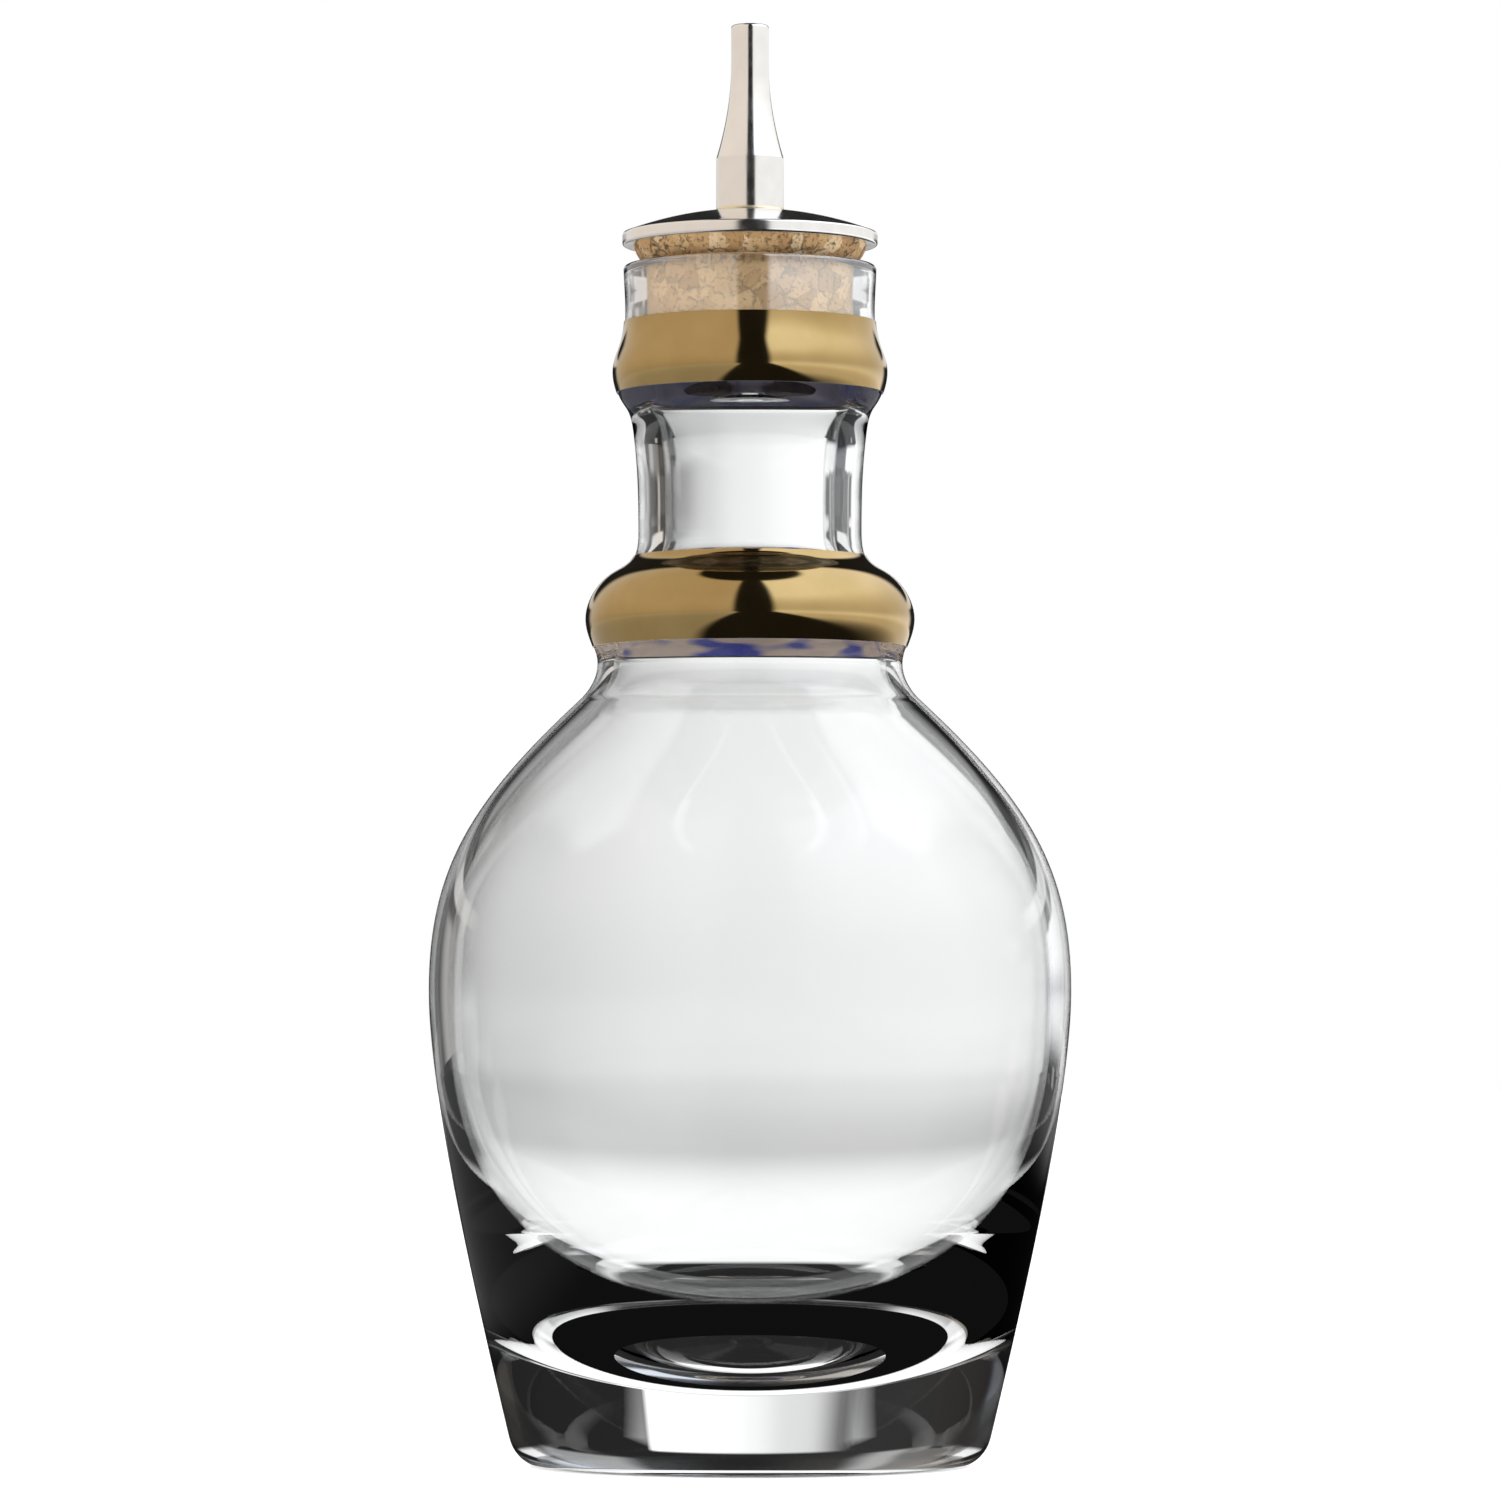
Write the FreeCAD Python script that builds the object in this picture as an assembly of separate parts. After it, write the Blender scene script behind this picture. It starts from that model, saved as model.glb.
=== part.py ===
import FreeCAD, Part
import math
import os

# A bitters bottle: a blown glass bottle with two gilded rings, and a cork stopper
# with a metal cap and dasher spout. Sizes are in mm, the bottle stands on z = 0 and
# every piece is turned about the Z axis.

# Bottle, outside. Each height is counted from the one below it.
foot_radius = 20.6
punt_radius = 16.5
punt_depth = 0.9
corner_reach = 3.4
corner_rise = 2.9
wall_lean = 13.5
belly_radius = 32.05
belly_height = 47.3
shoulder_rise = 32.6
shoulder_lean = 47.0
hollow_reach = 1.75
hollow_drop = 3.6
waist_radius = 15.25
lower_bead_rise = 4.5
lower_bead_swell = 1.1
neck_rise = 9.2
neck_radius = 11.17
upper_bead_rise = 15.6
upper_bead_swell = 2.49
lip_rise = 10.7
lip_step = 1.13
rim_flare = 0.15
rim_round = 0.45

# Bottle, inside
floor_thickness = 9.3
bowl_spread = 0.68
bowl_depth = 0.57
belly_wall = 1.85
shoulder_wall = 1.7
waist_wall = 1.6
bead_wall = 2.6
neck_wall = 2.65
mouth_wall = 2.11
mouth_round = 0.8
mouth_depth = 12.7
mouth_taper = 0.22

# Gilding
film_thickness = 0.12
film_gap = 0.01

# Stopper
cork_clearance = 0.05
cork_end_gap = 5.3
cork_chamfer = 0.6
cork_bulge = 1.28
cap_lift = 2.0
cap_overhang = 1.1
cap_rim = 1.3
cap_edge = 0.25
cap_dome = 2.1
spout_radius = 3.4
spout_shank = 5.35
spout_taper = 9.6
tip_length = 3.9
tip_radius = 1.9
tip_wall = 0.7
tip_round = 0.35
socket_wall = 0.9
socket_depth = 4.0
stem_wall = 0.6
stem_tail = 3.5
braze_leg = 0.35
insert_shank = 8.0
insert_overhang = 1.7
insert_flange = 1.2
orifice_radius = 0.95
orifice_sink = 0.5
fit_gap = 0.03

QUARTER = 0.5523
ROUND = QUARTER / math.sqrt(2)


def point(radius, height):
    return FreeCAD.Vector(radius, 0, height)


def line(a, b):
    return Part.makeLine(point(*a[:2]), point(*b[:2]))


def lines(points):
    """Straight edges from each point to the next."""
    return [line(a, b) for a, b in zip(points, points[1:])]


def bezier(poles):
    curve = Part.BezierCurve()
    curve.setPoles([point(*p) for p in poles])
    return curve.toShape()


def run(a, b, pull_a=1 / 3, pull_b=1 / 3):
    """A smooth edge between two stations, each (radius, height, lean from upright in degrees, + is outwards).
    The pulls say how far the curve follows each lean, as shares of the straight distance."""
    reach = math.hypot(b[0] - a[0], b[1] - a[1])
    lean_a = math.radians(a[2])
    lean_b = math.radians(b[2])
    after_a = (a[0] + pull_a * reach * math.sin(lean_a), a[1] + pull_a * reach * math.cos(lean_a))
    before_b = (b[0] - pull_b * reach * math.sin(lean_b), b[1] - pull_b * reach * math.cos(lean_b))
    return bezier([a[:2], after_a, before_b, b[:2]])


def runs(stations):
    return [run(a, b) for a, b in zip(stations, stations[1:])]


def between(a, b, share_out, share_up, lean):
    """A station part of the way from a to b, by its own shares of the radius and of the height."""
    radius = a[0] + (b[0] - a[0]) * share_out
    height = a[1] + (b[1] - a[1]) * share_up
    return (radius, height, lean)


def inset(station, wall):
    """The same station on the inside of a wall."""
    radius, height, lean = station
    angle = math.radians(lean)
    return (radius - wall * math.cos(angle), height + wall * math.sin(angle), lean)


def shifted(stations, out):
    return [(radius + out, height, lean) for radius, height, lean in stations]


def cap_arc(a, b):
    """The arc through a and b of a circle that has its centre on the axis."""
    centre = (a[0] ** 2 - b[0] ** 2 + a[1] ** 2 - b[1] ** 2) / (2 * (a[1] - b[1]))
    size = math.hypot(a[0], a[1] - centre)
    side = math.copysign(1, a[1] - centre)
    middle = (a[0] + b[0]) / 2
    top = centre + side * math.sqrt(size ** 2 - middle ** 2)
    return Part.Arc(point(*a[:2]), point(middle, top), point(*b[:2])).toShape()


def turned(edges):
    wire = Part.Wire(Part.__sortEdges__(edges))
    return Part.Face(wire).revolve(FreeCAD.Vector(0, 0, 0), FreeCAD.Vector(0, 0, 1), 360)


def keep(name, solid):
    solid.exportStep(os.path.join("parts", name + ".step"))


# Stations up the outside of the glass
foot_edge = (foot_radius, 0, 90)
wall_foot = (foot_radius + corner_reach, corner_rise, wall_lean)
belly = (belly_radius, belly_height, 0)
waist = (waist_radius, belly_height + shoulder_rise, 0)
shoulder = (waist_radius + hollow_reach, waist[1] - hollow_drop, -shoulder_lean)
lower_bead = (waist_radius + lower_bead_swell, waist[1] + lower_bead_rise, 0)
neck = (neck_radius, lower_bead[1] + neck_rise, 0)
upper_bead = (neck_radius + upper_bead_swell, neck[1] + upper_bead_rise, 0)
rim_height = upper_bead[1] + lip_rise
lip_radius = upper_bead[0] - lip_step
lip_top = (lip_radius, rim_height, 0)
lower_band_foot = between(waist, lower_bead, 0.336, 0.378, 22)
bead_shoulder = between(lower_bead, neck, 0.55, 0.51, -60)
lower_band_top = between(lower_bead, neck, 0.927, 0.685, -25)
neck_top = between(neck, upper_bead, 0.233, 0.641, 8)
bead_root = between(neck, upper_bead, 0.534, 0.779, 36)
upper_band_foot = between(neck, upper_bead, 0.835, 0.865, 20)
bead_fall = between(upper_bead, lip_top, 0.496, 0.215, -20.5)
upper_band_top = between(upper_bead, lip_top, 1.0, 0.467, -3)
rim = (lip_radius + rim_flare, rim_height - rim_round, 2)
rim_top = (rim[0] - rim_round, rim_height, -90)
lower_band = [lower_band_foot, lower_bead, bead_shoulder, lower_band_top]
upper_band = [upper_band_foot, upper_bead, bead_fall, upper_band_top]

# Stations up the inside
bore_radius = lip_radius - mouth_wall
floor = (0, floor_thickness)
belly_in = inset(belly, belly_wall)
shoulder_in = inset(shoulder, shoulder_wall)
waist_in = inset(waist, waist_wall)
bead_in = inset(lower_bead, bead_wall)
bead_shoulder_in = inset(bead_shoulder, bead_wall)
neck_root_in = inset(lower_band_top, neck_wall)
neck_in = inset(neck, neck_wall)
mouth_foot = (bore_radius - mouth_taper, rim_height - mouth_depth, 1)
throat_in = between(neck_in, mouth_foot, 0.17, 0.6, 7)
mouth_top = (bore_radius, rim_height - mouth_round, 0)
mouth_edge = (bore_radius + mouth_round, rim_height, 90)

# Blown glass with a heavy foot. The inside is a shape of its own: it follows the beads and the
# shoulder, and ends in a round bowl above the thick foot.
bowl_drop = belly_in[1] - floor[1]
bowl = bezier([
    floor,
    (bowl_spread * belly_in[0], floor[1]),
    (belly_in[0], belly_in[1] - bowl_depth * bowl_drop),
    belly_in[:2],
])
glass = [cap_arc((0, punt_depth), (punt_radius, 0)), line((punt_radius, 0), foot_edge)]
glass += [run(foot_edge, wall_foot, ROUND, ROUND), run(wall_foot, belly, 0.333, 0.222)]
glass += [run(belly, shoulder, 0.367, 0.459)]
glass += runs([shoulder, waist] + lower_band + [neck, neck_top, bead_root] + upper_band + [rim])
glass += [run(rim, rim_top, ROUND, ROUND), line(rim_top, mouth_edge)]
glass += [run(mouth_top, mouth_edge, ROUND, ROUND), line(mouth_top, mouth_foot)]
glass += runs([waist_in, bead_in, bead_shoulder_in, neck_root_in, neck_in, throat_in, mouth_foot])
glass += [run(belly_in, shoulder_in, 0.367, 0.459), run(shoulder_in, waist_in), bowl]
glass += [line(floor, (0, punt_depth))]
keep("glass_bottle", turned(glass))

# Fired gold lustre round the two beads
for name, band in (("lower_gold_band", lower_band), ("upper_gold_band", upper_band)):
    inner = shifted(band, film_gap)
    outer = shifted(band, film_gap + film_thickness)
    ends = [line(inner[0], outer[0]), line(inner[-1], outer[-1])]
    keep(name, turned(runs(inner) + runs(outer) + ends))

# Cork, squeezed by the mouth and swelling out above the rim
stem_radius = spout_radius - socket_wall
stem_bore = stem_radius - stem_wall
hole_radius = stem_radius + fit_gap
cap_base = rim_height + cap_lift
cork_base = mouth_foot[1] + cork_end_gap
cork_radius = bore_radius - cork_clearance
cork_share = (mouth_top[1] - cork_base) / (mouth_top[1] - mouth_foot[1])
cork_low_radius = cork_radius - mouth_taper * cork_share
cork_rim = (cork_radius, rim_height, 55)
cork_head = (bore_radius + cork_bulge, cap_base, 12)
cork = lines([
    cork_head,
    (hole_radius, cap_base),
    (hole_radius, cork_base),
    (cork_low_radius - cork_chamfer, cork_base),
    (cork_low_radius, cork_base + cork_chamfer),
    (cork_radius, mouth_top[1]),
    cork_rim,
])
keep("cork_stopper", turned(cork + [run(cork_rim, cork_head)]))

# Domed cap with a flat seat for the spout
cap_radius = cork_head[0] + cap_overhang
cap_top = cap_base + cap_rim
seat = cap_top + cap_dome
seat_radius = spout_radius + braze_leg
cap_side = (cap_radius, cap_top - cap_edge, 0)
cap_shoulder = (cap_radius - cap_edge, cap_top, -90)
cap = lines([
    (seat_radius, seat),
    (hole_radius, seat),
    (hole_radius, cap_base),
    (cap_radius - cap_edge, cap_base),
    (cap_radius, cap_base + cap_edge),
    cap_side,
])
cap += [run(cap_side, cap_shoulder, ROUND, ROUND), cap_arc((seat_radius, seat), cap_shoulder)]
keep("cap_disc", turned(cap))

# Turned spout with a socket for the stem and a bore that narrows to the tip
socket_top = seat + socket_depth
taper_foot = (spout_radius, seat + spout_shank, -17)
taper_top = (tip_radius, taper_foot[1] + spout_taper, 0)
tip_side = (tip_radius, taper_top[1] + tip_length - tip_round, 0)
tip_edge = (tip_radius - tip_round, taper_top[1] + tip_length, -90)
tip_bore = tip_radius - tip_wall
bore_step = (taper_foot[1] + taper_top[1]) / 2
spout = lines([
    tip_edge,
    (tip_bore, tip_edge[1]),
    (tip_bore, bore_step),
    (stem_bore, socket_top),
    (hole_radius, socket_top),
    (hole_radius, seat),
    (spout_radius, seat),
    taper_foot,
])
spout += [run(taper_foot, taper_top), line(taper_top, tip_side), run(tip_side, tip_edge, ROUND, ROUND)]
keep("dasher_spout", turned(spout))

# Fillet of braze between the spout and the cap
braze_low = (spout_radius + braze_leg, seat)
braze_high = (spout_radius, seat + braze_leg)
braze = lines([braze_high, (spout_radius, seat), braze_low])
keep("braze_ring", turned(braze + [line(braze_low, braze_high)]))

# Tube through the cork and the cap into the spout, standing out a little below the cork
stem_foot = cork_base - stem_tail
stem = lines([
    (stem_bore, stem_foot),
    (stem_radius, stem_foot),
    (stem_radius, socket_top - fit_gap),
    (stem_bore, socket_top - fit_gap),
    (stem_bore, stem_foot),
])
keep("stem_tube", turned(stem))

# Plug in the foot of the stem, with the hole that lets the liquid out by dashes
plug_radius = stem_bore - fit_gap
flange_radius = stem_radius + insert_overhang
flange_base = stem_foot - insert_flange
insert = lines([
    (orifice_radius, stem_foot + insert_shank),
    (orifice_radius, flange_base + orifice_sink),
    (orifice_radius + orifice_sink, flange_base),
    (flange_radius, flange_base),
    (flange_radius, stem_foot),
    (plug_radius, stem_foot),
    (plug_radius, stem_foot + insert_shank),
    (orifice_radius, stem_foot + insert_shank),
])
keep("dash_insert", turned(insert))
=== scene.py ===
import math

import bpy
import numpy as np
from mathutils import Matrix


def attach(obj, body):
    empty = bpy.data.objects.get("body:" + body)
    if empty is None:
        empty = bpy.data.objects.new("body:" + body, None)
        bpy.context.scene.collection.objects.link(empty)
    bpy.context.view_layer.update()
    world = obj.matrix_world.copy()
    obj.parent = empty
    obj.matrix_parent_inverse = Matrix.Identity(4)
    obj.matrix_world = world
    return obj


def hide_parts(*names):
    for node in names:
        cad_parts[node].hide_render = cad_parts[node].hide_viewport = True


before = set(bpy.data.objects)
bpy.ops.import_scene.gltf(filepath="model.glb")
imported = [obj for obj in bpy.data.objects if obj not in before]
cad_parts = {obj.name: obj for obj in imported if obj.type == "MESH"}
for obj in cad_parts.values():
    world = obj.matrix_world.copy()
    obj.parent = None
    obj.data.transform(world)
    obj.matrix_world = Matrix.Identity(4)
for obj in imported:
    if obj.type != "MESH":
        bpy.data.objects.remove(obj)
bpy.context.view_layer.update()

# The bottle: clear blown glass with a thick foot and two beads on the neck, fire-polished at the rim.
# The outside is the mould's shape. The inside was shaped by the blow, follows the beads and the
# shoulder, and ends in a round bowl above the foot.
MM = 0.001
QUARTER = 0.5523
ROUND = QUARTER / math.sqrt(2)
fewest_points = 9
point_gap = 1.4
foot_radius = 20.6
punt_radius = 16.5
punt_depth = 0.9
rim_height = 119.9
rim_radius = 12.68
rim_round = 0.45
mouth_round = 0.8
bore_radius = 10.42
floor_height = 9.3
bowl_spread = 0.68
bowl_depth = 0.57
belly_wall = 1.85
shoulder_wall = 1.7
waist_wall = 1.6
bead_wall = 2.6
neck_wall = 2.65
lustre_foot = 114.0
lustre_full = 114.4
glass_tint = (0.985, 0.992, 0.99, 1)


def run(a, b, pull_a=1 / 3, pull_b=1 / 3):
    """Points of a cubic curve from station a up to just short of station b. A station is (radius, height,
    lean from upright in degrees). P(t) = (1-t)^3 a + 3(1-t)^2 t a' + 3(1-t) t^2 b' + t^3 b, where a' and b'
    lie on the leans at shares pull_a and pull_b of the straight distance. With ROUND for both, a quarter turn
    is very nearly a circle's."""
    a = np.array(a, float)
    b = np.array(b, float)
    reach = np.hypot(*(b - a)[:2])
    lean_a, lean_b = np.radians([a[2], b[2]])
    after_a = a[:2] + pull_a * reach * np.array([np.sin(lean_a), np.cos(lean_a)])
    before_b = b[:2] - pull_b * reach * np.array([np.sin(lean_b), np.cos(lean_b)])
    count = fewest_points + int(reach / point_gap)
    t = np.arange(count)[:, None] / count
    s = 1 - t
    return s**3 * a[:2] + 3 * s**2 * t * after_a + 3 * s * t**2 * before_b + t**3 * b[:2]


def runs(stations):
    """The curves through a list of stations, one after the other."""
    return np.concatenate([run(a, b) for a, b in zip(stations, stations[1:])])


def straight(a, b, count=6):
    """Points from a to just short of b along a line: P(t) = (1-t) a + t b."""
    t = np.arange(count)[:, None] / count
    return (1 - t) * np.array(a[:2], float) + t * np.array(b[:2], float)


def downwards(points, last):
    """The same points taken the other way, where last is the end that they stop short of."""
    return np.concatenate([[last[:2]], points[::-1]])[:-1]


def turned(name, outline, around, smooth_under=40):
    """S(u, v) = (r(u) cos v, r(u) sin v, z(u)): a closed outline of (radius, height) in mm, taken upwards on
    its outer side, turned about the Z axis. Points on the axis become single vertices."""
    r, z = np.array(outline).T * MM
    v = np.linspace(0, 2 * np.pi, around, endpoint=False)
    on_axis = r < 1e-9
    points = np.stack([np.outer(r, np.cos(v)), np.outer(r, np.sin(v)), np.outer(z, np.ones(around))], -1)
    ids = np.arange(len(r) * around).reshape(len(r), around)
    ids[on_axis] = ids[on_axis, :1]
    upper = np.roll(ids, -1, axis=0)
    quads = np.stack([ids, np.roll(ids, -1, axis=1), np.roll(upper, -1, axis=1), upper], -1).reshape(-1, 4)
    used, packed = np.unique(quads, return_inverse=True)
    packed = packed.reshape(quads.shape)
    low = packed[:, 0] == packed[:, 1]
    high = packed[:, 2] == packed[:, 3]
    faces = packed[~low & ~high].tolist()
    faces += packed[low & ~high][:, [0, 2, 3]].tolist()
    faces += packed[high & ~low][:, :3].tolist()
    mesh = bpy.data.meshes.new(name)
    mesh.from_pydata(points.reshape(-1, 3)[used].tolist(), [], faces)
    mesh.shade_smooth()
    mesh.set_sharp_from_angle(angle=math.radians(smooth_under))
    piece = bpy.data.objects.new(name, mesh)
    bpy.context.collection.objects.link(piece)
    return piece


def inset(station, wall):
    """The station on the inside of a wall: moved by wall along the normal (-cos lean, sin lean)."""
    lean = math.radians(station[2])
    return (station[0] - wall * math.cos(lean), station[1] + wall * math.sin(lean), station[2])


foot_edge = (foot_radius, 0, 90)
wall_foot = (24.0, 2.9, 13.5)
belly = (32.05, 47.3, 0)
belly_pulls = (0.333, 0.222)
shoulder = (17.0, 76.3, -47)
shoulder_pulls = (0.367, 0.459)
waist = (15.25, 79.9, 0)
lower_band = [(15.62, 81.6, 22), (16.35, 84.4, 0), (13.5, 89.09, -60), (11.55, 90.7, -25)]
neck = (11.17, 93.6, 0)
neck_top = (11.75, 103.6, 8)
bead_root = (12.5, 105.75, 36)
upper_band = [(13.25, 107.1, 20), (13.66, 109.2, 0), (13.1, 111.5, -20.5), (12.53, 114.2, -3)]
rim = (rim_radius, rim_height - rim_round, 2)
rim_top = (rim_radius - rim_round, rim_height, -90)
mouth_edge = (bore_radius + mouth_round, rim_height, 90)
mouth_top = (bore_radius, rim_height - mouth_round, 0)
mouth_foot = (10.2, 107.2, 1)
throat = (8.806, 101.76, 7)
neck_in = inset(neck, neck_wall)
neck_root_in = inset(lower_band[3], neck_wall)
bead_shoulder_in = inset(lower_band[2], bead_wall)
bead_in = inset(lower_band[1], bead_wall)
waist_in = inset(waist, waist_wall)
shoulder_in = inset(shoulder, shoulder_wall)
belly_in = inset(belly, belly_wall)

punt = np.linspace(0, punt_radius, 24)[:-1]
punt_outline = np.stack([punt, punt_depth * (1 - (punt / punt_radius) ** 2)], -1)
bowl_drop = belly_in[1] - floor_height
t = np.linspace(0, 1, 71)[:, None]
bowl_outline = (
    (1 - t) ** 3 * np.array(belly_in[:2])
    + 3 * (1 - t) ** 2 * t * np.array([belly_in[0], belly_in[1] - bowl_depth * bowl_drop])
    + 3 * (1 - t) * t**2 * np.array([bowl_spread * belly_in[0], floor_height])
    + t**3 * np.array([0, floor_height])
)
outside = np.concatenate([
    punt_outline,
    straight((punt_radius, 0), foot_edge),
    run(foot_edge, wall_foot, ROUND, ROUND),
    run(wall_foot, belly, *belly_pulls),
    run(belly, shoulder, *shoulder_pulls),
    runs([shoulder, waist] + lower_band + [neck, neck_top, bead_root] + upper_band + [rim]),
    run(rim, rim_top, ROUND, ROUND),
])
inside = np.concatenate([
    straight(rim_top, mouth_edge),
    downwards(run(mouth_top, mouth_edge, ROUND, ROUND), mouth_edge),
    straight(mouth_top, mouth_foot),
    downwards(
        runs([waist_in, bead_in, bead_shoulder_in, neck_root_in, neck_in, throat, mouth_foot]), mouth_foot),
    downwards(run(shoulder_in, waist_in), waist_in),
    downwards(run(belly_in, shoulder_in, *shoulder_pulls), shoulder_in),
    bowl_outline,
])
bottle = turned("blown_bottle", np.concatenate([outside, inside]), around=192)


def shader(name, **values):
    """A new material with one Principled shader, whose sockets are set from values."""
    material = bpy.data.materials.new(name)
    material.use_nodes = True
    principled = material.node_tree.nodes["Principled BSDF"]
    for socket, value in values.items():
        principled.inputs[socket.replace("_", " ")].default_value = value
    return material, material.node_tree, principled


def feed(tree, socket, value):
    """Sets a socket to a value, or links it from another socket."""
    if isinstance(value, bpy.types.NodeSocket):
        tree.links.new(value, socket)
    else:
        socket.default_value = value


def add(tree, kind, settings=None, **inputs):
    """A node of this kind in a tree. Inputs are values, or sockets to link from."""
    node = tree.nodes.new(kind)
    for key, value in (settings or {}).items():
        setattr(node, key, value)
    for key, value in inputs.items():
        feed(tree, node.inputs[key.replace("_", " ")], value)
    return node


def worked(tree, operation, *terms, clamp=False):
    """A number worked out from terms, which are values or sockets: a b for MULTIPLY, a b + c for MULTIPLY_ADD
    and a - b for SUBTRACT. Clamp keeps it from 0 to 1."""
    node = add(tree, "ShaderNodeMath", {"operation": operation, "use_clamp": clamp})
    for socket, term in zip(node.inputs, terms):
        feed(tree, socket, term)
    return node.outputs["Value"]


def effect(name, inputs, outputs):
    """An empty shader node group with these float inputs and typed outputs."""
    group = bpy.data.node_groups.new(name, "ShaderNodeTree")
    for key, value in inputs.items():
        group.interface.new_socket(key, in_out="INPUT", socket_type="NodeSocketFloat").default_value = value
    for key, kind in outputs.items():
        group.interface.new_socket(key, in_out="OUTPUT", socket_type="NodeSocket" + kind)
    return group, group.nodes.new("NodeGroupInput"), group.nodes.new("NodeGroupOutput")


# A soft unevenness of a hand-finished surface: slow noise as a height and as a mask.
unevenness, given, result = effect(
    "unevenness", {"Scale": 100.0, "Detail": 2.0}, {"Height": "Float", "Mask": "Float"})
where = add(unevenness, "ShaderNodeTexCoord")
slow = add(unevenness, "ShaderNodeTexNoise", Vector=where.outputs["Object"],
           Scale=given.outputs["Scale"], Detail=given.outputs["Detail"])
spread = add(unevenness, "ShaderNodeMapRange", Value=slow.outputs["Fac"], From_Min=0.3, From_Max=0.7)
unevenness.links.new(slow.outputs["Fac"], result.inputs["Height"])
unevenness.links.new(spread.outputs["Result"], result.inputs["Mask"])

clear_glass, tree, principled = shader(
    "clear_glass", Base_Color=glass_tint, Roughness=0.0, IOR=1.52, Transmission_Weight=1.0,
    Coat_IOR=2.8, Coat_Roughness=0.03)
waves = add(tree, "ShaderNodeGroup", {"node_tree": unevenness}, Scale=60.0, Detail=1.0)
ripple = add(tree, "ShaderNodeBump", Strength=0.03, Distance=0.0004, Height=waves.outputs["Height"])
tree.links.new(ripple.outputs["Normal"], principled.inputs["Normal"])
# A hard, clear lustre on the outside of the lip, which veils the cork.
where = add(tree, "ShaderNodeTexCoord")
level = add(tree, "ShaderNodeSeparateXYZ", Vector=where.outputs["Object"])
lip = add(tree, "ShaderNodeMapRange", Value=level.outputs["Z"],
          From_Min=lustre_foot * MM, From_Max=lustre_full * MM)
side = add(tree, "ShaderNodeNewGeometry")
lustre = worked(tree, "MULTIPLY_ADD", side.outputs["Backfacing"], -1.0, lip.outputs["Result"], clamp=True)
tree.links.new(lustre, principled.inputs["Coat Weight"])
bottle.data.materials.append(clear_glass)
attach(bottle, "bottle")
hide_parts("glass_bottle")

# The two gilded beads: gold lustre brushed on the glass and fired, a mirror outside. Seen through the glass,
# the back of the film is beige. The blue patches on the lower bead are painted light for the light that
# shines through the film, and the dark blue of the upper one is painted shade under the cork.
film_bed = 0.05
film_skin = 0.12
film_around = 160
lower_film_end = 95
upper_film_start = 100
gold_deep = (0.43, 0.295, 0.118, 1)
gold_light = (0.485, 0.34, 0.145, 1)
film_beige = (0.95, 0.80, 0.66, 1)
# The blue is painted light shining through the film, and the dark blue is painted shade under the cork.
backlight_blue = (0.10, 0.13, 0.62, 1)
shaded_navy = (0.13, 0.14, 0.24, 1)


def blend(tree, share, first, second, way="MIX"):
    """A colour, (1 - share) first + share second unless way says otherwise. Sockets 6, 7 and 2 of a mix node
    are its two colours and its result."""
    node = add(tree, "ShaderNodeMix", {"data_type": "RGBA", "blend_type": way}, Factor=share)
    feed(tree, node.inputs[6], first)
    feed(tree, node.inputs[7], second)
    return node.outputs[2]


gold_outside, tree, principled = shader("gold_lustre", Metallic=1.0, Roughness=0.1)
patches = add(tree, "ShaderNodeGroup", {"node_tree": unevenness}, Scale=220.0, Detail=4.0)
gold = blend(tree, patches.outputs["Mask"], gold_deep, gold_light)
tree.links.new(gold, principled.inputs["Base Color"])
shine = add(tree, "ShaderNodeMapRange", Value=patches.outputs["Mask"], To_Min=0.05, To_Max=0.1)
tree.links.new(shine.outputs["Result"], principled.inputs["Roughness"])

gold_inside, tree, principled = shader("gold_lustre_back", Roughness=0.3)
patches = add(tree, "ShaderNodeGroup", {"node_tree": unevenness}, Scale=150.0, Detail=1.0)
# Painted light: blue patches for the light that shines through the film from behind.
backlight_share = add(tree, "ShaderNodeMapRange", Value=patches.outputs["Mask"], From_Min=0.5, From_Max=0.85)
beige_and_backlight = blend(tree, backlight_share.outputs["Result"], film_beige, backlight_blue)
where = add(tree, "ShaderNodeTexCoord")
level = add(tree, "ShaderNodeSeparateXYZ", Vector=where.outputs["Object"])
# Painted shade: the back of the upper bead turns dark blue, where the cork keeps the light off.
upper = add(tree, "ShaderNodeMapRange", Value=level.outputs["Z"],
            From_Min=lower_film_end * MM, From_Max=upper_film_start * MM, To_Max=0.9)
back = blend(tree, upper.outputs["Result"], beige_and_backlight, shaded_navy)
tree.links.new(back, principled.inputs["Base Color"])


def gilding(name, bead, node):
    """A skin round a bead: P(t) + (film_skin, 0) up the bead's own curve, then P(t) - (film_bed, 0) back down
    it. The faces on the way back have the inner finish."""
    curve = runs(bead)
    end = np.array(bead[-1][:2])
    skin = np.concatenate([curve, [end]]) + [film_skin, 0]
    bed = np.concatenate([curve, [end]])[::-1] - [film_bed, 0]
    piece = turned(name, np.concatenate([skin, bed]), around=film_around)
    piece.data.materials.append(gold_outside)
    piece.data.materials.append(gold_inside)
    faces = len(piece.data.polygons)
    rows = np.repeat(np.arange(len(skin) + len(bed)), film_around)[:faces]
    piece.data.polygons.foreach_set("material_index", (rows >= len(skin)).astype(np.int32))
    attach(piece, "bottle")
    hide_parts(node)


gilding("lower_gilding", lower_band, "lower_gold_band")
gilding("upper_gilding", upper_band, "upper_gold_band")

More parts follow.
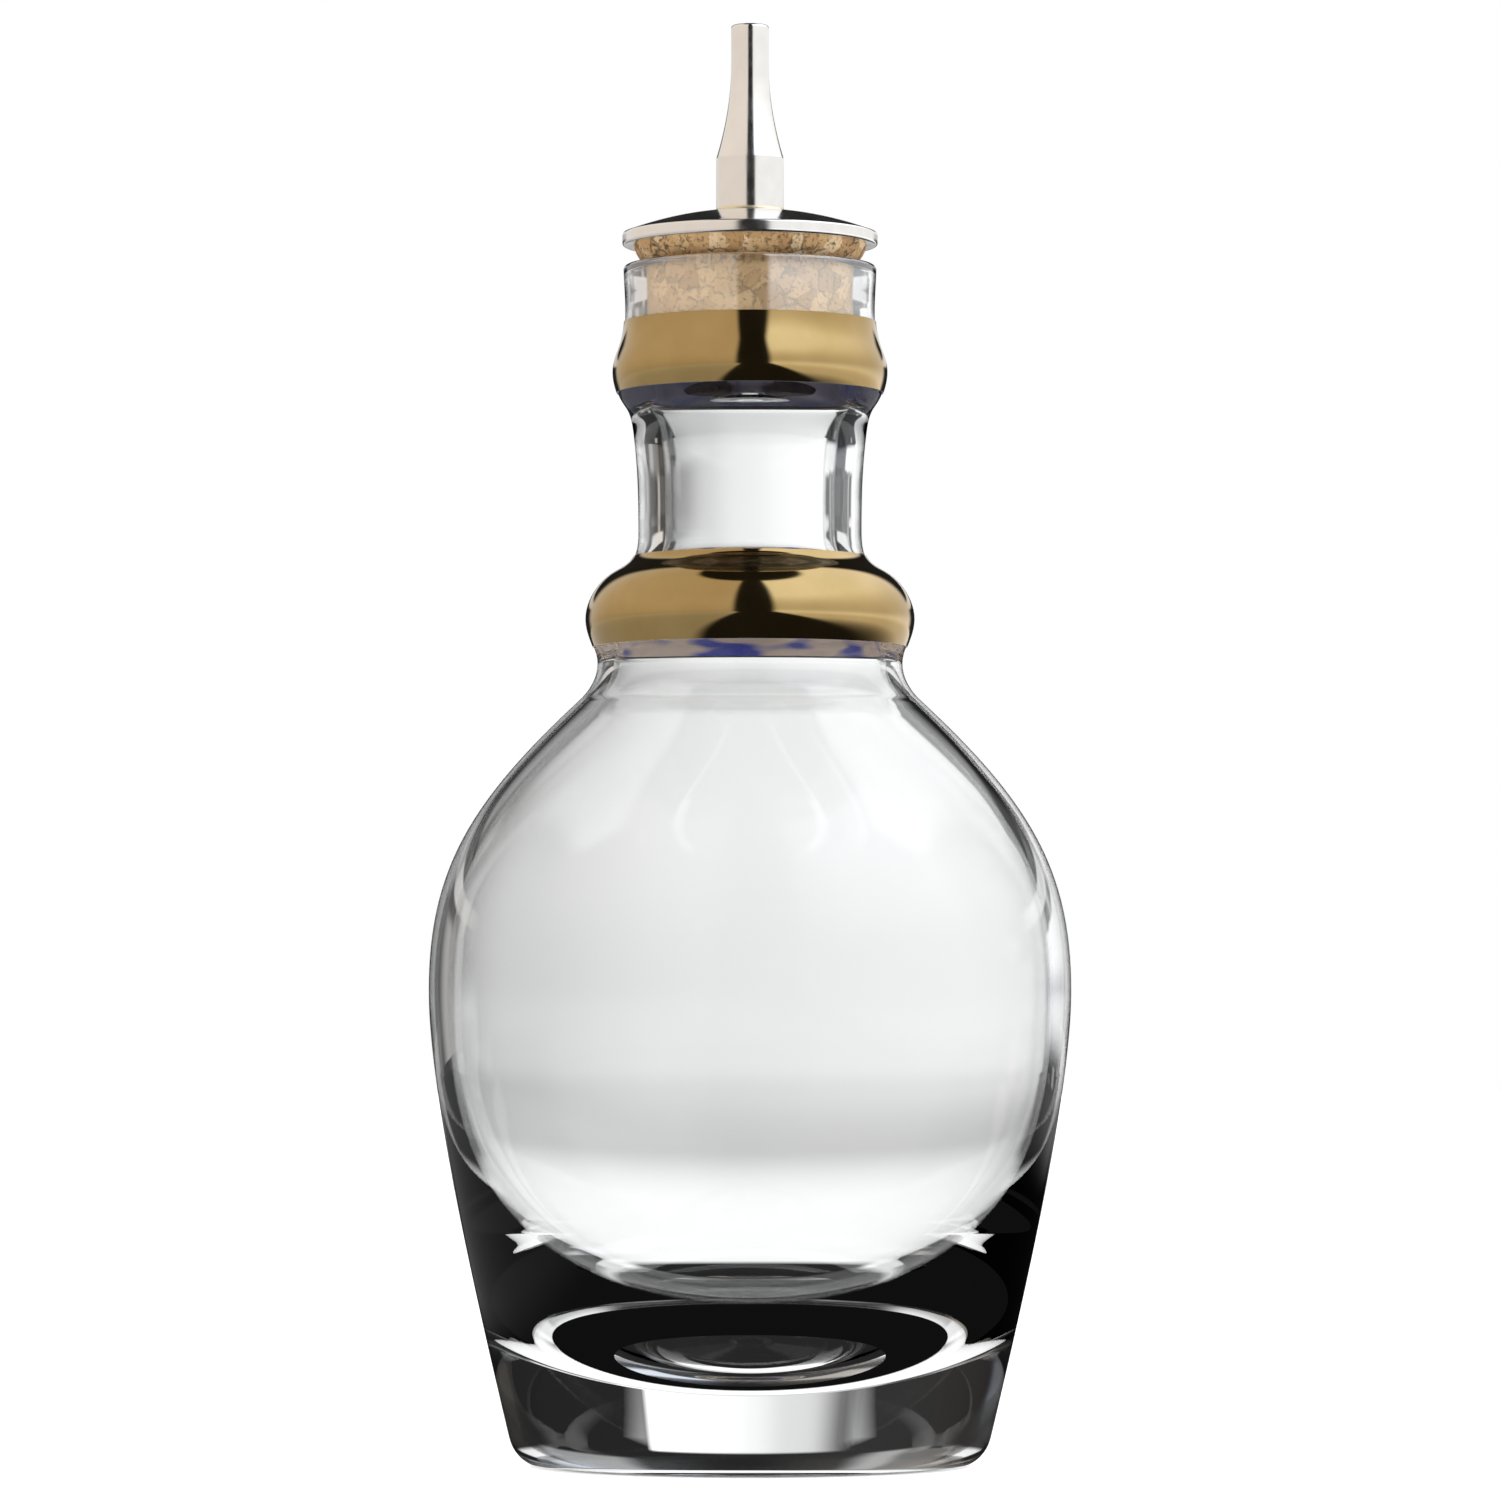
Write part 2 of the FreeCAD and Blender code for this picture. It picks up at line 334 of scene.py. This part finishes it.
# The plug in the foot of the stem: clear moulded plastic, pressed in, with a flange under the cork and a
# small countersunk hole that lets the liquid through.
dash_hole = 0.95
countersink = 0.5
flange_radius = 4.2
flange_edge = 0.15
flange_base = 107.8
flange_top = 109.0
plug_radius = 1.87
plug_top = 117.0
plastic_tint = (0.95, 0.96, 0.96, 1)
plug = turned("dash_plug", [
    (dash_hole, flange_base + countersink),
    (dash_hole + countersink, flange_base),
    (flange_radius - flange_edge, flange_base),
    (flange_radius, flange_base + flange_edge),
    (flange_radius, flange_top - flange_edge),
    (flange_radius - flange_edge, flange_top),
    (plug_radius, flange_top),
    (plug_radius, plug_top),
    (dash_hole, plug_top),
], around=64)
clear_plastic, tree, principled = shader(
    "clear_plastic", Base_Color=plastic_tint, Roughness=0.05, IOR=1.49, Transmission_Weight=1.0)
haze = add(tree, "ShaderNodeGroup", {"node_tree": unevenness}, Scale=900.0, Detail=3.0)
dull = add(tree, "ShaderNodeMapRange", Value=haze.outputs["Mask"], To_Min=0.02, To_Max=0.12)
tree.links.new(dull.outputs["Result"], principled.inputs["Roughness"])
plug.data.materials.append(clear_plastic)
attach(plug, "stopper")
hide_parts("dash_insert")

# The stem: a plated tube through the cork and the cap into the foot of the spout. It holds the plug and
# leads the liquid on.
stem_radius = 2.5
stem_bore = 1.9
stem_top = 129.27
silver_deep = (0.88, 0.86, 0.825, 1)
silver_light = (0.92, 0.90, 0.865, 1)
stem = turned("stem", [
    (stem_radius, flange_top), (stem_radius, stem_top), (stem_bore, stem_top), (stem_bore, flange_top),
], around=64)
plated, tree, principled = shader("plated_metal", Metallic=1.0)
turning = add(tree, "ShaderNodeGroup", {"node_tree": unevenness}, Scale=700.0, Detail=4.0)
silver = blend(tree, turning.outputs["Mask"], silver_deep, silver_light)
tree.links.new(silver, principled.inputs["Base Color"])
polish = add(tree, "ShaderNodeMapRange", Value=turning.outputs["Mask"], To_Min=0.1, To_Max=0.2)
tree.links.new(polish.outputs["Result"], principled.inputs["Roughness"])
stem.data.materials.append(plated)
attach(stem, "stopper")
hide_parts("stem_tube")

# The cork: granules pressed together and ground to a plug, squeezed in the mouth and swelling out above it.
# It is painted paler inside the glass, as painted light for the glass's veil and the light it gathers there,
# and its foot is painted dark, as painted shade in the neck.
cork_base = 112.5
cap_base = 121.9
cork_hole = 2.53
cork_radius = 10.37
cork_foot = 10.16
cork_bevel = 0.6
granule_scale = 560.0
granule_stray = 0.0007
granule_darkest = (0.33, 0.18, 0.07, 1)
granule_brown = (0.48, 0.28, 0.115, 1)
granule_tan = (0.64, 0.42, 0.20, 1)
granule_palest = (0.78, 0.58, 0.35, 1)
# Painted light: a paler tint for the cork inside the glass.
painted_veil_tint = (0.98, 0.75, 0.46, 1)
# Painted shade: a near black for the foot of the cork, in the shade of the neck.
painted_shade_tint = (0.035, 0.02, 0.018, 1)
veil_start = rim_height - 0.3
veil_full = rim_height - 0.9
shade_start = cork_base + 1.2
shade_full = cork_base + 0.1
cork_rim = (cork_radius, rim_height, 55)
cork_head = (11.7, cap_base, 12)
cork_outline = np.concatenate([
    straight((cork_hole, cork_base), (cork_foot - cork_bevel, cork_base), 12),
    straight((cork_foot - cork_bevel, cork_base), (cork_foot, cork_base + cork_bevel), 4),
    straight((cork_foot, cork_base + cork_bevel), (cork_radius, rim_height - mouth_round), 40),
    straight((cork_radius, rim_height - mouth_round), cork_rim, 4),
    run(cork_rim, cork_head),
    straight(cork_head, (cork_hole, cap_base), 12),
    straight((cork_hole, cap_base), (cork_hole, cork_base), 12),
])
cork = turned("cork", cork_outline, around=256)
cork_grain, tree, principled = shader("cork_grain", Roughness=0.85)
where = add(tree, "ShaderNodeTexCoord")
wander = add(tree, "ShaderNodeTexNoise", Vector=where.outputs["Object"], Scale=1400.0, Detail=3.0)
strayed = add(tree, "ShaderNodeVectorMath", {"operation": "MULTIPLY_ADD"})
stray = (wander.outputs["Color"], [granule_stray] * 3, where.outputs["Object"])
for socket, term in zip(strayed.inputs, stray):
    feed(tree, socket, term)
granule = add(tree, "ShaderNodeTexVoronoi", Vector=strayed.outputs["Vector"], Scale=granule_scale)
one = add(tree, "ShaderNodeSeparateColor", Color=granule.outputs["Color"])
shade = add(tree, "ShaderNodeValToRGB", Fac=one.outputs["Red"])
ramp = shade.color_ramp
ramp.elements[0].color = granule_darkest
ramp.elements[1].color = granule_palest
ramp.elements.new(0.12).color = granule_brown
ramp.elements.new(0.8).color = granule_tan
crack = add(tree, "ShaderNodeTexVoronoi", {"feature": "DISTANCE_TO_EDGE"},
            Vector=strayed.outputs["Vector"], Scale=granule_scale)
rift = add(tree, "ShaderNodeTexNoise", Vector=where.outputs["Object"], Scale=420.0, Detail=2.0)
width = add(tree, "ShaderNodeMapRange", Value=rift.outputs["Fac"],
            From_Min=0.5, From_Max=0.62, To_Min=0.002, To_Max=0.13)
seam = add(tree, "ShaderNodeMapRange", Value=crack.outputs["Distance"],
           From_Max=width.outputs["Result"], To_Min=0.3)
pore = add(tree, "ShaderNodeTexNoise", Vector=where.outputs["Object"], Scale=2600.0, Detail=3.0)
pit = add(tree, "ShaderNodeMapRange", Value=pore.outputs["Fac"], From_Min=0.3, From_Max=0.48, To_Min=0.35)
worn = worked(tree, "MULTIPLY", seam.outputs["Result"], pit.outputs["Result"])
tone = blend(tree, 1.0, shade.outputs["Color"], worn, "MULTIPLY")
level = add(tree, "ShaderNodeSeparateXYZ", Vector=where.outputs["Object"])
# Painted light: paler from just below the rim downwards, standing in for the veil of the glass.
veil_share = add(tree, "ShaderNodeMapRange", Value=level.outputs["Z"],
              From_Min=veil_start * MM, From_Max=veil_full * MM, To_Max=0.4)
# Painted shade: darker towards the foot of the cork, where it stands in the neck.
cork_shade = add(tree, "ShaderNodeMapRange", Value=level.outputs["Z"],
            From_Min=shade_start * MM, From_Max=shade_full * MM)
pale = blend(tree, veil_share.outputs["Result"], tone, painted_veil_tint)
shaded_cork = blend(tree, cork_shade.outputs["Result"], pale, painted_shade_tint)
tree.links.new(shaded_cork, principled.inputs["Base Color"])
grain = add(tree, "ShaderNodeBump", Strength=0.5, Distance=0.0003, Height=worn)
tree.links.new(grain.outputs["Normal"], principled.inputs["Normal"])
cork.data.materials.append(cork_grain)
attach(cork, "stopper")
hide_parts("cork_stopper")

# The cap: a plated disc with a low dome and a flat seat for the spout in the middle, drawn down on the cork
# by the stem.
seat = 125.3
cap_radius = 12.8
cap_edge = 0.25
cap_top = 123.2
seat_radius = 3.75
dome_foot = cap_radius - cap_edge
dome_centre = (seat_radius**2 - dome_foot**2 + seat**2 - cap_top**2) / (2 * (seat - cap_top))
dome_size = math.hypot(seat_radius, seat - dome_centre)
dome_r = np.linspace(dome_foot, seat_radius, 40)[:-1]
dome = np.stack([dome_r, dome_centre + np.sqrt(dome_size**2 - dome_r**2)], -1)
cap = turned("cap", np.concatenate([
    straight((cork_hole, cap_base), (dome_foot, cap_base), 12),
    run((dome_foot, cap_base, 90), (cap_radius, cap_base + cap_edge, 0), ROUND, ROUND),
    straight((cap_radius, cap_base + cap_edge), (cap_radius, cap_top - cap_edge), 4),
    run((cap_radius, cap_top - cap_edge, 0), (dome_foot, cap_top, -90), ROUND, ROUND),
    dome,
    straight((seat_radius, seat), (cork_hole, seat), 3),
    straight((cork_hole, seat), (cork_hole, cap_base), 3),
]), around=192, smooth_under=60)
cap.data.materials.append(plated)
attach(cap, "stopper")
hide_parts("cap_disc")

# The braze: a fillet of pale yellow metal, run round the foot of the spout to join it to the cap. Its outer
# side is hollow, and its inner side leans a hair into the spout.
spout_radius = 3.4
braze_leg = 0.35
braze_lap = 0.02
braze_deep = (0.84, 0.72, 0.48, 1)
braze_light = (0.90, 0.81, 0.60, 1)
fillet = run((spout_radius + braze_leg, seat, -90), (spout_radius, seat + braze_leg, 0), ROUND, ROUND)
braze_back = [[spout_radius, seat + braze_leg], [spout_radius - braze_lap, seat]]
braze = turned("braze_fillet", np.concatenate([fillet, braze_back]), around=96)
brass, tree, principled = shader("braze", Metallic=1.0, Roughness=0.3)
spots = add(tree, "ShaderNodeGroup", {"node_tree": unevenness}, Scale=1500.0, Detail=3.0)
yellow = blend(tree, spots.outputs["Mask"], braze_deep, braze_light)
tree.links.new(yellow, principled.inputs["Base Color"])
braze.data.materials.append(brass)
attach(braze, "stopper")
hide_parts("braze_ring")

# The spout: turned metal, plated with the cap, a plain shank that narrows in a long hollow curve to the tip.
# The bore narrows too, above a socket for the stem.
tip_radius = 1.9
tip_round = 0.35
tip_bore = 1.2
taper_foot = (spout_radius, seat + 5.35, -17)
taper_top = (tip_radius, seat + 14.95, 0)
tip_height = seat + 18.85
socket_top = seat + 4
bore_narrow = seat + 10.15
spout = turned("spout", np.concatenate([
    straight((spout_radius, seat), taper_foot, 12),
    run(taper_foot, taper_top),
    straight(taper_top, (tip_radius, tip_height - tip_round), 6),
    run((tip_radius, tip_height - tip_round, 0), (tip_radius - tip_round, tip_height, -90), ROUND, ROUND),
    straight((tip_radius - tip_round, tip_height), (tip_bore, tip_height), 3),
    straight((tip_bore, tip_height), (tip_bore, bore_narrow), 6),
    straight((tip_bore, bore_narrow), (stem_bore, socket_top), 6),
    straight((stem_bore, socket_top), (cork_hole, socket_top), 2),
    straight((cork_hole, socket_top), (cork_hole, seat), 4),
    straight((cork_hole, seat), (spout_radius, seat), 2),
]), around=128, smooth_under=14)
spout.data.materials.append(plated)
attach(spout, "stopper")
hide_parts("dasher_spout")

# The studio: a white backdrop behind the bottle, a soft panel on each side of the camera and darkness
# elsewhere. The camera sees only a pale floor and white beyond it. The pieces see two lit sheets, the wall of
# the room and the ground, which have one set of levels for glass and another for mirrors.
room_radius = 1.5
room_height = 5.0
ground_lift = 0.0003
dark_level = 0.02
left_panel = 0.8
right_panel = 1.52
glass_mirror = 0.25
glass_gain = 1.6


def ease(x, low, high):
    """0 below low, 1 above high, and 3t^2 - 2t^3 between, where t = (x - low) / (high - low)."""
    t = np.clip((x - low) / (high - low), 0, 1)
    return t * t * (3 - 2 * t)


def band(x, rise, full, fall, end):
    """ease(x, rise, full) (1 - ease(x, fall, end)): 1 from full to fall, and 0 outside rise and end."""
    return ease(x, rise, full) * (1 - ease(x, fall, end))


def lit_sheet(name, points, through, mirrored, tint):
    """A grid of points that glows by its own levels, one for rays that come out of glass and one for rays off
    mirrors and bare things. Unseen by the camera and casting no shadow. Bare glass mirrors it weakly, by
    glass_mirror, and what stands inside the glass is lit more strongly, by glass_gain."""
    rows, columns = through.shape
    ids = np.arange(rows * columns).reshape(rows, columns)
    quads = np.stack([ids[:-1, :-1], ids[1:, :-1], ids[1:, 1:], ids[:-1, 1:]], -1).reshape(-1, 4)
    mesh = bpy.data.meshes.new(name)
    mesh.from_pydata(points.reshape(-1, 3).tolist(), [], quads.tolist())
    material = bpy.data.materials.new(name)
    material.use_nodes = True
    tree = material.node_tree
    tree.nodes.clear()
    ray = add(tree, "ShaderNodeLightPath")
    out_of_glass, diffused = ray.outputs["Is Transmission Ray"], ray.outputs["Diffuse Depth"]
    shades = []
    for key, level in (("mirrored", mirrored), ("through", through)):
        stored = mesh.attributes.new(key, "FLOAT_COLOR", "POINT")
        colour = np.concatenate([level[..., None] * tint, np.ones((rows, columns, 1))], -1)
        stored.data.foreach_set("color", colour.ravel())
        shades.append(add(tree, "ShaderNodeAttribute", {"attribute_name": key}).outputs["Color"])
    chosen = blend(tree, worked(tree, "SUBTRACT", out_of_glass, diffused, clamp=True), *shades)
    sharp = worked(tree, "MULTIPLY", ray.outputs["Is Singular Ray"], ray.outputs["Is Reflection Ray"])
    power = add(tree, "ShaderNodeMapRange", Value=sharp, To_Min=1.0, To_Max=glass_mirror)
    indoors = worked(tree, "MULTIPLY", out_of_glass, diffused, clamp=True)
    gain = worked(tree, "MULTIPLY_ADD", indoors, glass_gain, power.outputs["Result"])
    light = add(tree, "ShaderNodeEmission", Color=chosen, Strength=gain)
    add(tree, "ShaderNodeOutputMaterial", Surface=light.outputs["Emission"])
    mesh.materials.append(material)
    sheet = bpy.data.objects.new(name, mesh)
    bpy.context.collection.objects.link(sheet)
    sheet.visible_camera = False
    sheet.visible_shadow = False
    return sheet


# The wall: turn is the angle from the camera's side in degrees, positive to the right, off is the angle from
# the middle of the backdrop, and height is in metres. First, the heights that parts of the bottle look at.
turn = np.linspace(-180, 180, 361)[None, :]
height = room_height * np.linspace(0, 1, 160)[:, None] ** 2
off = 180 - np.abs(turn)
on_right = turn > 0
is_high = ease(height, 0.27, 0.30)
at_neck = band(height, 0.19, 0.23, 0.27, 0.30)
at_lip = band(height, 0.262, 0.270, 0.335, 0.345)
at_foot = band(height, 0.28, 0.32, 0.43, 0.47)
level_with_spout = band(height, 0, 0.29, 0.4, 1.4)

# Through glass, the backdrop: it falls off to the left, rises to the right and dims towards the ground.
left_fall = (1 - 0.22 * ease(off, 0, 6) - 0.25 * ease(off, 6, 18)) * (1 - ease(off, 9, 17) * is_high)
left_fall = left_fall * (1 - 0.4 * ease(off, 3, 14) * at_neck)
right_rise = (1 + 0.02 * off + 0.015 * off * is_high) * (1 - ease(off, 15.5, 17) * is_high)
side_light = np.where(on_right, right_rise, left_fall)
backdrop_end = 21 + np.where(on_right, 0, 6) * at_neck
backdrop = side_light * (1 - ease(off, 18, backdrop_end)) * (1 - ease(height, 0.36, 0.40))
backdrop = backdrop * (0.82 + 0.12 * ease(height, 0, 0.06) + 0.09 * ease(height, 0.06, 0.15))

# Through glass, the wings beside the backdrop: a thin light line on the left, a broad light on the right,
# thin lines for the walls of the neck and a light of its own for the lip.
crest = 35 - 11 * ease(height, 0.05, 0.65)
glint_end = 48 - 13 * band(height, 0.3, 0.36, 0.5, 0.6)
glint = band(off, crest - 9, crest - 1, glint_end, glint_end + 4)
glint = glint * (1 - 0.6 * ease(off, crest + 1, crest + 6))
left_wing = (0.06 - 0.045 * is_high) * ease(off, 0, 18) + 0.4 * glint * (1 - at_foot) * (1 - at_neck)
right_end = 38 - 18 * at_neck
right_wing = 1.2 * ease(off, 18, 22) * (1 - 0.87 * ease(off, right_end, right_end + 4))
right_wing = right_wing * ease(height, 0, 0.12) * (1 - is_high)
right_wing = right_wing + 0.35 * ease(height, 0.55, 0.65) * band(off, 18, 26, 46, 56)
neck_line = 0.38 * np.where(on_right, band(off, 28, 29.5, 31, 32.5), band(off, 44, 46, 49, 51))
wings = np.where(on_right, right_wing, left_wing) + neck_line * at_neck
lip_light = np.where(on_right, 0.35 + 0.55 * ease(off, 22, 26), 0.42 + 0.36 * ease(off, 25, 29))
wings = wings * (1 - at_lip) + lip_light * band(off, 14, 18, 53, 58) * at_lip

# Through glass, a weaker light from the camera's side.
facing = (0.45 * ease(-turn, 0, 35) + 0.8 * ease(turn, 8, 40)) * ease(off, 80, 100)
facing = facing * band(height, 0, 0.8, 2.5, 3.0)

# In mirrors, the two panels: they end beside the backdrop, but for a strip that lights the edges of the cap.
panels = left_panel * ease(-turn, 9, 14) + right_panel * ease(turn, 14, 20)
panels = panels * (0.82 + 0.18 * ease(height, 0, 1.2)) * (1 - ease(height, 3.8, 4.6))
panels = panels * (1 - (1 - ease(off, 24, 34)) * (1 - band(height, 0.27, 0.31, 0.38, 0.42)))
panels = panels * (1 + np.where(on_right, -0.28, 0.12) * level_with_spout)
warm = 1 - (ease(-turn, 0, 20) * ease(off, 20, 60))[..., None] * [0, 0.09, 0.18]
warm = warm + (ease(turn, 0, 20) * ease(off, 20, 60) * (1 - level_with_spout))[..., None] * [0, 0.08, 0.22]
angle = np.radians(turn)
points = np.stack(np.broadcast_arrays(room_radius * np.sin(angle), -room_radius * np.cos(angle), height), -1)
room = lit_sheet("room", points, backdrop + wings + facing + dark_level, panels + dark_level, warm)

# The ground, through glass: white behind the bottle in a widening path, a glow round the edge of the foot,
# and dark in front. Under the foot it is dark too, a painted shadow of the bottle.
far = room_radius * np.linspace(0, 1, 150)[:, None] ** 2
x, y = far * np.sin(angle), -far * np.cos(angle)
path_width = np.maximum(0.055, 0.3 * y + 0.025)
path = ease(y - 0.45 * np.abs(x), -0.005, 0.005)
path = path * (1 - ease(np.abs(x), path_width - 0.008, path_width + 0.008))
distant = ease(np.log(np.maximum(far, 0.01)), math.log(0.17), math.log(room_radius))
path_level = 1.2 - 0.52 * ease(far, 0.05, 0.2) + 0.14 * distant
path_level = path_level * (1 + (side_light[:1] - 1) * distant)
sideways = np.abs(turn)
# Painted shadow: the ground goes dark under the foot, out to foot_shade, in both sets of levels.
foot_shade = 0.0205 + 0.0033 * ease(sideways, 108, 155)
under = ease(far, foot_shade - 0.0004, foot_shade + 0.0004)
glow_edge = 0.0214 + 0.001 * ease(sideways, 50, 75) + 0.004 * ease(sideways, 95, 115)
glow = 0.95 * ease(sideways, 20, 50) * (1 - ease(far, glow_edge - 0.0006, glow_edge + 0.0006))
through = np.maximum(path * path_level, glow) * under + dark_level
through = through + neck_line * band(far, 0.4, 0.5, 1.0, 1.2)

# The ground, in mirrors: lit beside the panels, and far behind for the underside of the cap.
front = np.maximum(-y, 0)
left_floor = left_panel * (0.62 + 0.2 * ease(far, 0.1, 1.2)) * (1 - ease(-turn, 155, 170))
left_floor = left_floor * ease(-x, 0.055 + 0.09 * front, 0.085 + 0.09 * front)
right_floor = right_panel * (0.6 * ease(far, 0.14, 0.4) + 0.22 * ease(far, 0.3, 1.4))
right_floor = right_floor * (1 - ease(turn, 155, 170))
right_floor = right_floor * ease(x, 0.14 + 0.21 * front, 0.2 + 0.21 * front)
far_floor = 0.6 * ease(far, 0.5, 0.8) * (1 - ease(off, 12, 25))
mirrored = (left_floor + right_floor) * under + far_floor + dark_level
points = np.stack([x, y, np.full_like(x, ground_lift)], -1)
floor_sheet = lit_sheet("floor_sheet", points, through, mirrored, np.ones(3))
floor_sheet.visible_diffuse = False

# The pale floor that the camera sees, lit by a broad, soft light from above. The glass casts no shadow on it.
floor_half = 6
floor_corners = [(-1, -1), (1, -1), (1, 1), (-1, 1)]
floor_white = (0.92, 0.92, 0.92, 1)
floor_mesh = bpy.data.meshes.new("floor")
floor_mesh.from_pydata([(floor_half * u, floor_half * v, 0) for u, v in floor_corners], [], [(0, 1, 2, 3)])
floor = bpy.data.objects.new("floor", floor_mesh)
bpy.context.collection.objects.link(floor)
pale_floor, tree, principled = shader(
    "pale_floor", Base_Color=floor_white, Roughness=0.9, Specular_IOR_Level=0.0)
floor_mesh.materials.append(pale_floor)

sky = bpy.data.lights.new("overhead", "SUN")
sky.energy = 5.0
sky.angle = math.radians(120)
overhead = bpy.data.objects.new("overhead", sky)
bpy.context.collection.objects.link(overhead)
overhead.visible_glossy = False
overhead.visible_transmission = False
bottle.visible_shadow = False

# Round about, white for the camera and nearly dark for everything else.
world = bpy.data.worlds.new("studio")
world.use_nodes = True
tree = world.node_tree
tree.nodes.clear()
ray = add(tree, "ShaderNodeLightPath")
dark = add(tree, "ShaderNodeBackground", Color=(dark_level, dark_level, dark_level, 1), Strength=1.0)
white = add(tree, "ShaderNodeBackground", Color=(1, 1, 1, 1), Strength=1.0)
seen = add(tree, "ShaderNodeMixShader", Fac=ray.outputs["Is Camera Ray"])
tree.links.new(dark.outputs["Background"], seen.inputs[1])
tree.links.new(white.outputs["Background"], seen.inputs[2])
add(tree, "ShaderNodeOutputWorld", Surface=seen.outputs["Shader"])
bpy.context.scene.world = world
bpy.context.scene.view_settings.view_transform = "Standard"

# The camera: a long lens a little above the foot, tilted up at the middle of the bottle. Wherever it stands,
# the sheets turn with it about the bottle, so every side is seen in the same light.
camera_distance = 0.714
camera_height = 0.0414
aim_height = 0.0713
lens = bpy.data.cameras.new("camera")
lens.lens = 171.5
lens.sensor_width = 36
camera = bpy.data.objects.new("camera", lens)
bpy.context.collection.objects.link(camera)
camera.location = (0, -camera_distance, camera_height)
camera.rotation_euler = (math.pi / 2 + math.atan2(aim_height - camera_height, camera_distance), 0, 0)
bpy.context.scene.camera = camera
for sheet in (room, floor_sheet):
    follow = sheet.constraints.new("LOCKED_TRACK")
    follow.target = camera
    follow.track_axis = "TRACK_NEGATIVE_Y"
    follow.lock_axis = "LOCK_Z"
